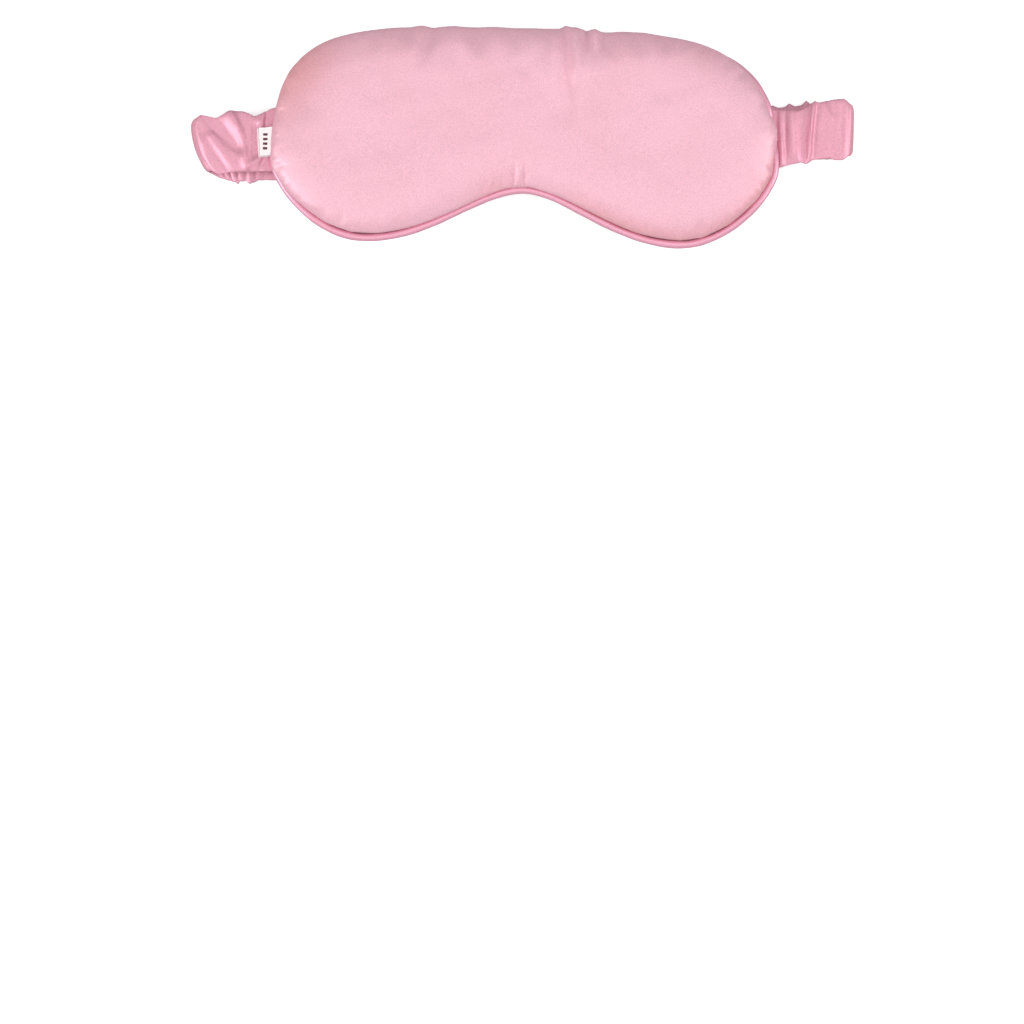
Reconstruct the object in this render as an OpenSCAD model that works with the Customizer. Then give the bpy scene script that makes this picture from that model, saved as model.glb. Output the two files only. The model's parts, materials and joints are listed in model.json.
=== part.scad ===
// Padded satin sleep mask, lying front side up on its own elastic strap.
// X runs along the mask, Y towards the forehead edge and Z out of the front panel.
// The strap leaves both side seams, folds under at each end and runs back beneath the mask.
// It bends, so its casing and elastic are made as links that meet at their bending lines.

/* [Mask body] */
// Overall width over the piping
mask_w = 215; // [180:1:260]
// Overall height over the piping
mask_h = 91; // [76:1:110]
// Height of the nose notch above the lowest points of the cheeks
nose_rise = 21.5; // [10:0.5:26]
// Distance from the middle to the lowest point of each cheek
cheek_x = 66; // [52:1:80]
// How far the widest points sit below mid-height
side_drop = 11; // [4:1:16]
// Puff of the front panel above the seam
front_puff = 8.5; // [5:0.5:14]
// Puff of the back panel below the seam
back_puff = 6.4; // [5:0.1:10]
// Thickness of the satin panels
panel_t = 0.6; // [0.4:0.1:0.9]
// Thickness of the dark interlining
lining_t = 0.4; // [0.2:0.1:0.6]
// Width of the turned-in seam allowance
allowance_w = 4.5; // [3:0.5:6]

/* [Piping] */
// Outside diameter of the piping bead
piping_d = 3.2; // [2.4:0.1:4.5]
// Thickness of the bias strip that wraps the cord
bias_t = 0.4; // [0.2:0.05:0.5]

/* [Strap] */
// Width of the gathered casing
strap_w = 26; // [22:1:34]
// Thickness of the gathered strap
strap_t = 3; // [2.4:0.1:4.5]
// Thickness of one gathered layer of the casing
gather_t = 0.6; // [0.4:0.05:0.7]
// Thickness of one layer of the casing where it is pressed flat
casing_t = 0.3; // [0.2:0.05:0.4]
// Width of the elastic
elastic_w = 20; // [14:1:20]
// Thickness of the elastic
elastic_t = 0.9; // [0.6:0.1:1]
// Length of each end piece, from the seam to the outer fold
tab_len = 28.4; // [20:0.2:45]
// Half the length of the straight middle of the back run
centre_half = 18; // [12:1:26]
// Gap where the two halves of the back run meet
centre_gap = 2.6; // [2.4:0.1:4]

/* [Label] */
// Width of the side label along the seam
label_w = 12; // [8:1:18]
// Length of the folded label
label_len = 5.2; // [4:0.2:12]
// Thickness of the label's ribbon
ribbon_t = 0.3; // [0.2:0.05:0.4]
// Distance of the label's middle below mid-height
label_drop = 1; // [-4:1:4]

/* [Hidden] */
SATIN = "#efb6cb";
SATIN_EDGE = "#e7a3bd";
ELASTIC = "#f4d9e2";
LINING = "#242226";
WADDING = "#f7f4f1";
CORD = "#f3ece6";
LABEL = "#fbf3f2";
THREAD = "#e29ab6";
$fn = 48;

// Clearances
layer_gap = 0.05;    // between layers that are sewn together
fit_gap = 0.1;       // between nested soft layers
lie_gap = 0.3;       // between pieces that lie on each other and can lift off
link_gap = 0.35;     // from a flat link's end to its bending line
fold_slack = 0.15;   // more than half a thickness, from a fold's bending line to a link's end
tab_slack = 0.4;     // the same, where the strap's end piece bends at the seam
seam_slack = 0.5;    // from the sewn-in end to the seam's bending line
notch_gap = 0.2;     // around the sewn-in end, in the back panel's notch
wadding_gap = 0.15;  // between the interlining's edge and the wadding's edge
hinge_out = 2.1;     // from the piping's outside to the strap's bending line at the seam
label_out = 0.5;     // from the piping's outside to the label's bending line

// Stitches that hold the strap's sewn-in ends
BACK_LINKS = 4;
STITCHES = 9;
stitch_d = 0.35;
stitch_len = 2.4;
stitch_slant = 35;

// Heights, from the surface that the mask lies on
flange_t = 2 * bias_t;
half_stack = flange_t / 2 + layer_gap;
stub_t = elastic_t + 2 * (casing_t + layer_gap);
seam_z = strap_t + lie_gap + back_puff + half_stack;
front_z = seam_z + half_stack;
back_z = seam_z - half_stack;
bead_z = seam_z - flange_t / 2 + piping_d / 2;
tab_z = back_z - stub_t / 2;
run_z = strap_t / 2;
label_t = 2 * ribbon_t + layer_gap;
label_z = tab_z + strap_t / 2 + lie_gap + label_t / 2;

// Insets of the edges from the piping's outside
panel_inset = piping_d + fit_gap;
hem_inset = panel_inset + allowance_w;
lining_inset = hem_inset + fit_gap;
wadding_inset = lining_inset + lining_t + wadding_gap;

// Places along the strap
seam_x = mask_w / 2 + hinge_out;
fold_x = seam_x + tab_len;
stub_in_x = mask_w / 2 - lining_inset + notch_gap;
stub_out_x = seam_x - seam_slack;
tab_in_x = seam_x + stub_t / 2 + tab_slack;
fold_end = strap_t / 2 + fold_slack;
link_len = (fold_x - centre_half) / BACK_LINKS;
label_x = mask_w / 2 + label_out;

// Outline of the mask, as the handles of the smooth curves of its right half
half_w = mask_w / 2;
half_h = mask_h / 2;
top_handle = 0.66 * half_w;
side_up = half_h + side_drop;
side_down = 0.30 * (half_h - side_drop);
cheek_out = 0.54 * (half_w - cheek_x);
cheek_in = 0.42 * cheek_x;
nose_handle = 0.26 * cheek_x;
TOP_STEPS = 15;
SIDE_STEPS = 8;
NOSE_STEPS = 9;

function curve(a, b, c, d, t) =
    a * pow(1 - t, 3) + 3 * b * t * pow(1 - t, 2) + 3 * c * t * t * (1 - t) + d * pow(t, 3);
function brow(t) = curve([0, half_h], [top_handle, half_h], [half_w, side_up - side_drop],
                         [half_w, -side_drop], t);
function temple(t) = curve([half_w, -side_drop], [half_w, -side_drop - side_down],
                           [cheek_x + cheek_out, -half_h], [cheek_x, -half_h], t);
function cheek(t) = curve([cheek_x, -half_h], [cheek_x - cheek_in, -half_h],
                          [nose_handle, nose_rise - half_h], [0, nose_rise - half_h], t);

right_half = concat(
    [for (i = [0 : TOP_STEPS - 1]) brow(i / TOP_STEPS)],
    [for (i = [0 : SIDE_STEPS - 1]) temple(i / SIDE_STEPS)],
    [for (i = [0 : NOSE_STEPS]) cheek(i / NOSE_STEPS)]);
left_half = [for (i = [len(right_half) - 2 : -1 : 1]) [-right_half[i].x, right_half[i].y]];
outline = concat(right_half, left_half);
N = len(outline);

// Unit vector that points inwards at point i of the outline
function inward(i) =
    let (d = outline[(i + 1) % N] - outline[(i + N - 1) % N])
    [d.y, -d.x] / norm(d);
function inset(d) = [for (i = [0 : N - 1]) outline[i] + d * inward(i)];

// Ridge that a panel's rings shrink towards, lower at the cheeks than over the nose
RIDGE_SHARE = 0.56;
RIDGE_REACH = 0.85;
ridge_mid_y = nose_rise / 2;
ridge_fall = (nose_rise / 2 + 2) / cheek_x;
function ridge(p) = [RIDGE_SHARE * p.x, ridge_mid_y - ridge_fall * abs(RIDGE_SHARE * p.x)];

// Rounded profile of a stuffed panel, from 0 at the seam to 1 at the ridge
PUFF_POWER = 2.3;
RINGS = 6;
RING_BUNCH = 1.8;
function puff(u) = pow(1 - pow(1 - u, PUFF_POWER), 1 / PUFF_POWER);
function dome_ring(edge, z, h, u) = [for (p = edge)
    let (q = p * (1 - u * RIDGE_REACH) + ridge(p) * u * RIDGE_REACH) [q.x, q.y, z + h * puff(u)]];
function dome(edge, z, h) = [for (k = [0 : RINGS]) dome_ring(edge, z, h, pow(k / RINGS, RING_BUNCH))];
function flat_ring(edge, z) = [for (p = edge) [p.x, p.y, z]];
function reversed(list) = [for (i = [len(list) - 1 : -1 : 0]) list[i]];
function placed(rings, z, side) = [for (ring = rings) [for (p = ring) [p.x, p.y, z + side * p.z]]];

// Solid whose skin joins a list of rings, closed flat over the first and the last
module loft(rings) {
    n = len(rings[0]);
    last = len(rings) - 1;
    sides = [for (k = [0 : last - 1], i = [0 : n - 1])
        let (a = k * n + i, b = k * n + (i + 1) % n)
        each [[a, b + n, b], [a, a + n, b + n]]];
    first_cap = [for (i = [0 : n - 1]) i];
    last_cap = [for (i = [n - 1 : -1 : 0]) last * n + i];
    polyhedron([for (ring = rings) each ring], concat([first_cap], sides, [last_cap]), convexity = 6);
}

// Solid that carries a closed profile of [inset, height] points round the mask's outline
module round_outline(profile) {
    m = len(profile);
    points = [for (i = [0 : N - 1], q = profile)
        let (p = outline[i] + q.x * inward(i)) [p.x, p.y, q.y]];
    faces = [for (i = [0 : N - 1], j = [0 : m - 1])
        let (a = i * m + j, b = i * m + (j + 1) % m, next = (i + 1) % N * m,
             c = next + j, d = next + (j + 1) % m)
        each [[a, d, c], [a, b, d]]];
    polyhedron(points, faces, convexity = 6);
}

// Cloth dome with a turned-in seam allowance, upwards for side = 1 and downwards for side = -1
module panel(z, h, side) {
    inner = dome(inset(panel_inset + panel_t), panel_t, h - 2 * panel_t);
    hem = inset(hem_inset);
    rings = concat(reversed(dome(inset(panel_inset), 0, h)),
                   [flat_ring(hem, 0), flat_ring(hem, panel_t)], inner);
    shape = placed(rings, z, side);
    loft(side > 0 ? shape : reversed(shape));
}

module front_panel() {
    color(SATIN) panel(front_z, front_puff, 1);
}

module back_panel() {
    color(SATIN) difference() {
        panel(back_z, back_puff, -1);
        for (side = [-1, 1]) strap_notch(side);
    }
}

// Room in the back panel's edge for a sewn-in strap end and its stitches
module strap_notch(side) {
    depth = stub_t + notch_gap + stitch_d;
    start = stub_in_x - notch_gap;
    length = seam_x - start;
    translate([side * (start + length / 2), 0, back_z + layer_gap - depth / 2])
        cube([length, strap_w + 2 * notch_gap, depth], center = true);
}

module blackout_lining() {
    h = back_puff - panel_t - fit_gap;
    outer = dome(inset(lining_inset), 0, h);
    inner = dome(inset(lining_inset + lining_t), 0, h - lining_t);
    color(LINING) loft(reversed(placed(concat(reversed(outer), inner), back_z, -1)));
}

module wadding() {
    edge = inset(wadding_inset);
    up = dome(edge, 0, half_stack + front_puff - panel_t - fit_gap);
    down = dome(edge, 0, half_stack + back_puff - panel_t - lining_t - 2 * fit_gap);
    below = [for (k = [RINGS : -1 : 1]) down[k]];
    color(WADDING) loft(reversed(concat(placed(below, seam_z, -1), placed(up, seam_z, 1))));
}

// Bias strip that wraps the cord, its two layers lying on each other in the seam
BEAD_STEPS = 10;
bead_r = piping_d / 2;
bore_r = bead_r - bias_t;
function bead_point(r, a) = [bead_r + r * cos(a), bead_z + r * sin(a)];
function bead_arc(r, from, to) = [for (i = [0 : BEAD_STEPS]) bead_point(r, from + i * (to - from) / BEAD_STEPS)];
module piping_cover() {
    tip = hem_inset - fit_gap;
    top = seam_z + flange_t / 2;
    slit_top = seam_z + layer_gap;
    round_start = asin((top - bead_z) / bead_r);
    slit_start = asin((slit_top - bead_z) / bore_r);
    color(SATIN_EDGE) round_outline(concat(
        [[tip, top]], bead_arc(bead_r, round_start, 270),
        [[tip, seam_z - flange_t / 2], [tip, seam_z]], bead_arc(bore_r, 270, slit_start),
        [[tip, slit_top]]));
}

module piping_cord() {
    r = bore_r - fit_gap;
    color(CORD) round_outline([for (a = [0 : 45 : 315]) bead_point(r, a)]);
}

// Flat bar with round long edges, as wide as w in Y and as thick as t
module band_section(w, t) {
    square([w - t, t], center = true);
    for (side = [-1, 1]) translate([side * (w - t) / 2, 0]) circle(d = t);
}

// Gathered casing from x = from to x = to, hollow where the elastic runs
module flat_casing(from, to, z) {
    color(SATIN) translate([from, 0, z]) rotate([90, 0, 90]) linear_extrude(to - from) difference() {
        band_section(strap_w, strap_t);
        band_section(strap_w - 2 * gather_t, strap_t - 2 * gather_t);
    }
}

module flat_elastic(from, to, z) {
    color(ELASTIC) translate([(from + to) / 2, 0, z])
        cube([to - from, elastic_w, elastic_t], center = true);
}

// The upright stretch of the strap inside each outer fold
module fold_casing(side) {
    from = run_z + fold_end;
    color(SATIN) translate([side * fold_x, 0, from]) rotate([0, 0, 90])
        linear_extrude(tab_z - fold_end - from) difference() {
            band_section(strap_w, strap_t);
            band_section(strap_w - 2 * gather_t, strap_t - 2 * gather_t);
        }
}

module fold_elastic(side) {
    height = tab_z - run_z - 2 * fold_end;
    color(ELASTIC) translate([side * fold_x, 0, (run_z + tab_z) / 2])
        cube([elastic_t, elastic_w, height], center = true);
}

// Pressed flat end of the casing, sewn into the side seam
module anchor_casing(side) {
    length = stub_out_x - stub_in_x;
    color(SATIN) translate([side * (stub_in_x + stub_out_x) / 2, 0, tab_z]) difference() {
        cube([length, strap_w, stub_t], center = true);
        cube([length + 1, strap_w - 2 * casing_t, elastic_t + 2 * layer_gap], center = true);
    }
}

module anchor_elastic(side) {
    length = stub_out_x - stub_in_x;
    color(ELASTIC) translate([side * (stub_in_x + stub_out_x) / 2, 0, tab_z])
        cube([length, elastic_w, elastic_t], center = true);
}

// Row of slanting stitches under the sewn-in end
module bartack(side) {
    pitch = elastic_w / (STITCHES - 1);
    z = tab_z - stub_t / 2 - layer_gap - stitch_d / 2;
    x = mask_w / 2 - hem_inset + allowance_w / 2;
    color(THREAD) for (i = [0 : STITCHES - 1])
        translate([side * x, (i - (STITCHES - 1) / 2) * pitch, z])
            rotate([0, 90, stitch_slant]) cylinder(h = stitch_len, d = stitch_d, center = true);
}

// Ribbon folded double, its fold pointing away from the mask
module side_label() {
    reach = label_len - label_t / 2;
    color(LABEL) translate([-label_x, -label_drop + label_w / 2, label_z]) rotate([90, 0, 0])
        linear_extrude(label_w) difference() {
            union() {
                translate([-reach, -label_t / 2]) square([reach, label_t]);
                translate([-reach, 0]) circle(d = label_t);
            }
            translate([-reach, -layer_gap / 2]) square([reach + 1, layer_gap]);
        }
}

// Ends of back link k on one side, as distances from the middle; link 0 is the straight middle
function link_from(k) = k == 0 ? centre_gap / 2 : centre_half + (k - 1) * link_len + link_gap;
function link_to(k) = centre_half + k * link_len - (k == BACK_LINKS ? fold_end : link_gap);
module back_casing(side, k) { mirror([side < 0 ? 1 : 0, 0, 0]) flat_casing(link_from(k), link_to(k), run_z); }
module back_elastic(side, k) { mirror([side < 0 ? 1 : 0, 0, 0]) flat_elastic(link_from(k), link_to(k), run_z); }
module tab_casing(side) { mirror([side < 0 ? 1 : 0, 0, 0]) flat_casing(tab_in_x, fold_x - fold_end, tab_z); }
module tab_elastic(side) { mirror([side < 0 ? 1 : 0, 0, 0]) flat_elastic(tab_in_x, fold_x - fold_end, tab_z); }

front_panel();
back_panel();
wadding();
blackout_lining();
piping_cover();
piping_cord();
side_label();
anchor_casing(-1);  // anchor_casing_left
anchor_casing(1);  // anchor_casing_right
anchor_elastic(-1);  // anchor_elastic_left
anchor_elastic(1);  // anchor_elastic_right
bartack(-1);  // bartack_left
bartack(1);  // bartack_right
tab_casing(-1);  // tab_casing_left
tab_casing(1);  // tab_casing_right
tab_elastic(-1);  // tab_elastic_left
tab_elastic(1);  // tab_elastic_right
fold_casing(-1);  // fold_casing_left
fold_casing(1);  // fold_casing_right
fold_elastic(-1);  // fold_elastic_left
fold_elastic(1);  // fold_elastic_right
back_casing(-1, 0);  // back_casing_left_0
back_casing(-1, 1);  // back_casing_left_1
back_casing(-1, 2);  // back_casing_left_2
back_casing(-1, 3);  // back_casing_left_3
back_casing(-1, 4);  // back_casing_left_4
back_casing(1, 0);  // back_casing_right_0
back_casing(1, 1);  // back_casing_right_1
back_casing(1, 2);  // back_casing_right_2
back_casing(1, 3);  // back_casing_right_3
back_casing(1, 4);  // back_casing_right_4
back_elastic(-1, 0);  // back_elastic_left_0
back_elastic(-1, 1);  // back_elastic_left_1
back_elastic(-1, 2);  // back_elastic_left_2
back_elastic(-1, 3);  // back_elastic_left_3
back_elastic(-1, 4);  // back_elastic_left_4
back_elastic(1, 0);  // back_elastic_right_0
back_elastic(1, 1);  // back_elastic_right_1
back_elastic(1, 2);  // back_elastic_right_2
back_elastic(1, 3);  // back_elastic_right_3
back_elastic(1, 4);  // back_elastic_right_4
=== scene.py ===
"""A padded satin sleep mask lying front side up on its own gathered elastic strap.

Lengths are in millimetres until a mesh is made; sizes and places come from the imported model's nodes.
"""

import json
import math

import bpy
import numpy as np
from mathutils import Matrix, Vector
from mathutils.geometry import delaunay_2d_cdt


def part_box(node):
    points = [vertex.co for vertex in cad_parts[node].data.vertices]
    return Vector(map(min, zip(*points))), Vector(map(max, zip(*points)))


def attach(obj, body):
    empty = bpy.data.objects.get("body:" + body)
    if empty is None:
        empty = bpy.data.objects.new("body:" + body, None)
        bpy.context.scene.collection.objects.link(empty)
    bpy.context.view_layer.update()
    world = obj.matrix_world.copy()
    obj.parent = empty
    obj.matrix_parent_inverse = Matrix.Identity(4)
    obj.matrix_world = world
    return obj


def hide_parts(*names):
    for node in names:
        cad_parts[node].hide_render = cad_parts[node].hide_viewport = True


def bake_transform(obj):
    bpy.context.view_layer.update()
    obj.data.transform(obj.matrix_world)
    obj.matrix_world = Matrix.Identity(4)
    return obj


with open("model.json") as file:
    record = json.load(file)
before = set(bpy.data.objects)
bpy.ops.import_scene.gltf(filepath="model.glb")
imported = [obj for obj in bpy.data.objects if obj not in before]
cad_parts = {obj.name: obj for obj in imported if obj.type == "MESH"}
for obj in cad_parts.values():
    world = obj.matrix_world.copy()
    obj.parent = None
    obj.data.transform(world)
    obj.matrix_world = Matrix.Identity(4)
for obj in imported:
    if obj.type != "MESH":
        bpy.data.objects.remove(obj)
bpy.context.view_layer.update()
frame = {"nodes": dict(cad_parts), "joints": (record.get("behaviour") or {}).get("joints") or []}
MM = 0.001


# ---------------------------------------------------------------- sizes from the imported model

def cad(node):
    """Lowest and highest corner of a CAD node, in millimetres."""
    low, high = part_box(node)
    return np.array(low) / MM, np.array(high) / MM


PIPING_LOW, PIPING_HIGH = cad("piping_cover")
FRONT_LOW, FRONT_HIGH = cad("front_panel")
BACK_LOW, BACK_HIGH = cad("back_panel")
TAB_LOW, TAB_HIGH = cad("tab_casing_right")
RUN_LOW, RUN_HIGH = cad("back_casing_right_4")
FOLD_LOW, FOLD_HIGH = cad("fold_casing_right")
LABEL_LOW, LABEL_HIGH = cad("side_label")
ELASTIC_LOW, ELASTIC_HIGH = cad("tab_elastic_right")

HALF_W = PIPING_HIGH[0]
HALF_H = PIPING_HIGH[1]
BEAD_R = (PIPING_HIGH[2] - PIPING_LOW[2]) / 2
BEAD_Z = (PIPING_HIGH[2] + PIPING_LOW[2]) / 2
SEAM_Z = (FRONT_LOW[2] + BACK_HIGH[2]) / 2
TAB_Z = (TAB_HIGH[2] + TAB_LOW[2]) / 2
RUN_Z = (RUN_HIGH[2] + RUN_LOW[2]) / 2
FOLD_X = (FOLD_HIGH[0] + FOLD_LOW[0]) / 2
JOINTS = {j["name"]: j for j in frame["joints"]}

# The outline's own sizes, as the CAD source has them
SIDE_DROP = 11.0
CHEEK_X = 66.0
NOSE_RISE = 21.5


# ---------------------------------------------------------------- small mathematics

def smooth(t):
    t = np.clip(t, 0.0, 1.0)
    return t * t * (3 - 2 * t)


def ripple(points, size, seed, waves=7):
    """Smooth noise between about -1 and 1: a sum of plane waves whose lengths are near size."""
    draw = np.random.default_rng(seed)
    points = np.asarray(points, float)
    total = np.zeros(len(points))
    for _ in range(waves):
        angle = draw.uniform(0, 2 * math.pi)
        length = size * draw.uniform(0.7, 1.6)
        direction = np.array([math.cos(angle), math.sin(angle)]) * 2 * math.pi / length
        total += np.sin(points @ direction + draw.uniform(0, 2 * math.pi))
    return total / math.sqrt(waves) * 0.8


def crease(points, start, end, width, height, bow=0.0):
    """Height of one crease: a ridge, or a valley where height is negative, that runs from start to end,
    fades towards end and bows sideways by bow."""
    a, b = np.array(start, float), np.array(end, float)
    along = b - a
    length = np.linalg.norm(along)
    along /= length
    across = np.array([-along[1], along[0]])
    t = (points - a) @ along / length
    side = (points - a) @ across - bow * np.sin(math.pi * np.clip(t, 0, 1))
    grow = smooth((t + 0.08) / 0.16)
    fade = 1 - smooth((t - 0.35) / 0.65)
    return height * np.exp(-(side / width) ** 2) * grow * fade


def new_mesh(name, points, faces):
    """A smooth-shaded object from points in millimetres."""
    mesh = bpy.data.meshes.new(name)
    mesh.from_pydata([tuple(p) for p in np.asarray(points, float) * MM], [], faces)
    mesh.validate()
    mesh.shade_smooth()
    obj = bpy.data.objects.new(name, mesh)
    bpy.context.scene.collection.objects.link(obj)
    return obj


# ---------------------------------------------------------------- outline of the mask

def bezier(a, b, c, d, steps):
    t = np.arange(steps)[:, None] / steps
    a, b, c, d = (np.array(p, float) for p in (a, b, c, d))
    return a * (1 - t) ** 3 + 3 * b * t * (1 - t) ** 2 + 3 * c * t * t * (1 - t) + d * t ** 3


def mask_outline(spacing):
    """Evenly spaced points round the mask's outside, clockwise from the middle of the forehead edge."""
    nose_y = NOSE_RISE - HALF_H
    right = np.vstack([
        bezier((0, HALF_H), (0.66 * HALF_W, HALF_H), (HALF_W, HALF_H), (HALF_W, -SIDE_DROP), 200),
        bezier((HALF_W, -SIDE_DROP), (HALF_W, -SIDE_DROP - 0.30 * (HALF_H - SIDE_DROP)),
               (CHEEK_X + 0.54 * (HALF_W - CHEEK_X), -HALF_H), (CHEEK_X, -HALF_H), 100),
        bezier((CHEEK_X, -HALF_H), (0.58 * CHEEK_X, -HALF_H), (0.26 * CHEEK_X, nose_y), (0, nose_y), 120),
        [(0, nose_y)]])
    left = right[-2:0:-1] * (-1, 1)
    return resample(np.vstack([right, left]), spacing)


def resample(loop, spacing):
    closed = np.vstack([loop, loop[:1]])
    steps = np.r_[0, np.cumsum(np.linalg.norm(np.diff(closed, axis=0), axis=1))]
    count = round(steps[-1] / spacing)
    at = np.linspace(0, steps[-1], count, endpoint=False)
    return np.stack([np.interp(at, steps, closed[:, k]) for k in (0, 1)], 1)


def inward(loop):
    d = np.roll(loop, -1, 0) - np.roll(loop, 1, 0)
    n = np.stack([d[:, 1], -d[:, 0]], 1)
    return n / np.linalg.norm(n, axis=1)[:, None]


# How much of the piping shows beside the front panel, at places round the outline: (x, y, width)
PIPING_SHOWS = [
    (0, 46, 0.0), (45, 46, 0.0), (72, 41, 0.2), (84, 34, 1.1), (95, 24, 1.7), (103, 14, 2.1), (105.6, 8, 0.7),
    (106.8, 4, 0.1), (107.5, -3, 1.5), (107.3, -11, 2.7), (98, -34, 2.7), (66, -46, 2.9), (38, -38, 2.5),
    (14, -27, 2.1), (-4, -24, 2.2), (-24, -31, 2.0), (-46, -42, 2.4), (-66, -46, 3.0), (-88, -40, 2.5),
    (-102, -26, 1.6), (-107, -10, 1.1), (-104, 12, 0.9), (-94, 27, 0.6), (-76, 39, 0.3), (-52, 44, 0.0)]


def piping_shows(loop):
    """The visible width of the piping at each point of a loop of outline points."""
    places = np.array(PIPING_SHOWS, float)
    index = np.array([np.argmin(np.linalg.norm(loop - p[:2], axis=1)) for p in places])
    order = np.argsort(index)
    index, width = index[order], places[order, 2]
    n = len(loop)
    i = np.r_[index[-1] - n, index, index[0] + n]
    w = np.r_[width[-1], width, width[0]]
    raw = np.interp(np.arange(n), i, w)
    span = max(3, n // 110)
    kernel = np.hanning(2 * span + 1)
    return np.convolve(np.r_[raw[-span:], raw, raw[:span]], kernel / kernel.sum(), "valid")


# ---------------------------------------------------------------- panels

SHEET_PITCH = 1.25
EDGE_RINGS = (0.45, 1.0, 1.65, 2.4, 3.3, 4.3, 5.4)


def sheet_points(loop, pitch, rings):
    """A flat triangle mesh that fills a loop: points, triangles and the number of points on the loop."""
    n_in = inward(loop)
    points = [loop]
    for d in rings:
        points.append(resample(loop + d * n_in, pitch))
    low, high = loop.min(0), loop.max(0)
    row = pitch * math.sqrt(3) / 2
    ys = np.arange(low[1], high[1], row)
    lattice = np.array([(x + (k % 2) * pitch / 2, y) for k, y in enumerate(ys)
                        for x in np.arange(low[0], high[0], pitch)])
    inside, depth = depth_of(lattice, loop)[:2]
    points.append(lattice[inside & (depth > rings[-1] + 0.7 * pitch)])
    flat = np.vstack(points)
    verts, _, faces, *_ = delaunay_2d_cdt(
        [Vector(p) for p in flat], [], [list(range(len(loop)))], 1, 1e-6)
    return np.array([tuple(v) for v in verts]), [tuple(f) for f in faces], len(loop)


def depth_of(points, loop):
    """For each point: whether it is inside the loop, how far from it, and the nearest loop point's number."""
    nearest = np.empty(len(points), int)
    depth = np.empty(len(points))
    for k in range(0, len(points), 2000):
        d = np.linalg.norm(points[k:k + 2000, None] - loop[None], axis=2)
        nearest[k:k + 2000] = d.argmin(1)
        depth[k:k + 2000] = d.min(1)
    n_in = inward(loop)[nearest]
    inside = ((points - loop[nearest]) * n_in).sum(1) > 0
    along = np.abs(((points - loop[nearest]) * n_in).sum(1))
    return inside, np.minimum(depth, np.maximum(along, depth * 0.98)), nearest


ROUNDING = 20.5      # how far from its edge a panel still rises
FULLNESS = 2.35      # how quickly it rises there
SEAM_TUCK = 0.7      # from the panel's outermost line back to its seam
BULGE = 2.2          # how far the wall leans out over the seam
BULGE_AT = 1.6       # how far from the seam, along the cloth, it leans out most
PANEL_LIFT = 0.5     # from the seam's middle height to each panel's seam


def dome_height(depth):
    return (1 - (1 - np.clip(depth / ROUNDING, 0, 1)) ** FULLNESS) ** (1 / FULLNESS)


def front_creases(p):
    """The creases of the front panel, in the mask's own plane."""
    h = np.zeros(len(p))
    # the long crease right of the middle, and the ridge beside it
    h += crease(p, (15.5, 46), (19, 1), 1.7, -1.5, bow=0.6)
    h += crease(p, (19.5, 46), (23, 4), 2.6, 1.1, bow=0.6)
    h += crease(p, (11.5, 46), (11, 20), 2.4, 0.7)
    h += crease(p, (25.0, 46), (25.5, 33), 1.4, -1.2)
    h += crease(p, (28.5, 46), (29.5, 36), 1.3, 0.9)
    h += crease(p, (31.5, 46), (33.0, 34), 1.5, -0.9)
    # the soft diagonal fold over the middle
    h += crease(p, (-3, 30), (24, -4), 3.6, -0.45, bow=1.5)
    h += crease(p, (4, 31), (29, -3), 3.4, 0.3, bow=1.5)
    # soft valleys that come down from the forehead edge
    for x, reach, lean, depth in (
            (-62, 15, -3, 0.35), (-49, 12, -1, 0.3), (-41, 22, -4, 0.75), (-29, 18, 3, -0.5),
            (-21, 16, 2, 0.55), (-6, 15, 2, 0.4), (3, 17, -1, -0.3), (44, 17, 5, 0.5),
            (56, 13, 4, 0.4), (70, 12, 5, 0.3)):
        h += crease(p, (x, 46), (x + lean, 46 - reach), 3.0, -1.6 * depth, bow=0.5)
    # sharp puckers over the nose
    for x, reach, lean, width, depth in (
            (-4.2, 13, 0.9, 0.9, -1.3), (-2.2, 15, 0.9, 1.1, 1.2), (0.4, 13, -0.3, 0.9, -1.2),
            (-10, 6, 2, 0.9, -0.6), (-13.4, 5, 3, 1.0, -0.6), (-17, 6, 3, 1.0, -0.3),
            (7, 6, -1.5, 1.0, -0.4), (13, 6, -3, 1.1, -0.4)):
        h += crease(p, (x, -22.5), (x + lean, -22.5 + reach), width, depth)
    # faint hollows in the wadding
    h += crease(p, (-75, -8), (-48, 6), 9, -0.35)
    h += crease(p, (40, 2), (66, -20), 8, -0.4)
    h += crease(p, (70, 20), (88, -12), 7, 0.3)
    return h


def edge_bumps(p):
    """How far the front panel's forehead edge stands out or in, at its creases and upper left corner."""
    bump = np.zeros(len(p))
    for x, width, height in (
            (16.4, 1.8, 1.5), (20.5, 2.6, 0.9), (25.4, 1.0, -0.5), (28.6, 1.7, 0.6), (34.0, 4.0, -0.8),
            (-90, 22, 1.5), (-60, 16, 0.5), (-44.0, 3.0, 0.7), (-38.6, 1.6, -0.4), (-31, 3.5, 0.4),
            (-14, 5, 0.3), (48, 5, 0.3)):
        bump += height * np.exp(-((p[:, 0] - x) / width) ** 2)
    return bump * smooth((p[:, 1] + 5) / 40)


def back_creases(p):
    """Puckers of the back panel: short valleys that come in from the seam all round."""
    h = np.zeros(len(p))
    loop = mask_outline(9.5)
    n_in = inward(loop)
    draw = np.random.default_rng(12)
    for q, n in zip(loop, n_in):
        reach = draw.uniform(9, 20)
        turn = draw.uniform(-0.3, 0.3)
        end = q + reach * (n + turn * np.array([-n[1], n[0]]))
        h += crease(p, q + n, end, draw.uniform(1.4, 2.8), draw.uniform(-0.8, -0.2),
                    bow=draw.uniform(-0.6, 0.6))
    return h


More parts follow.
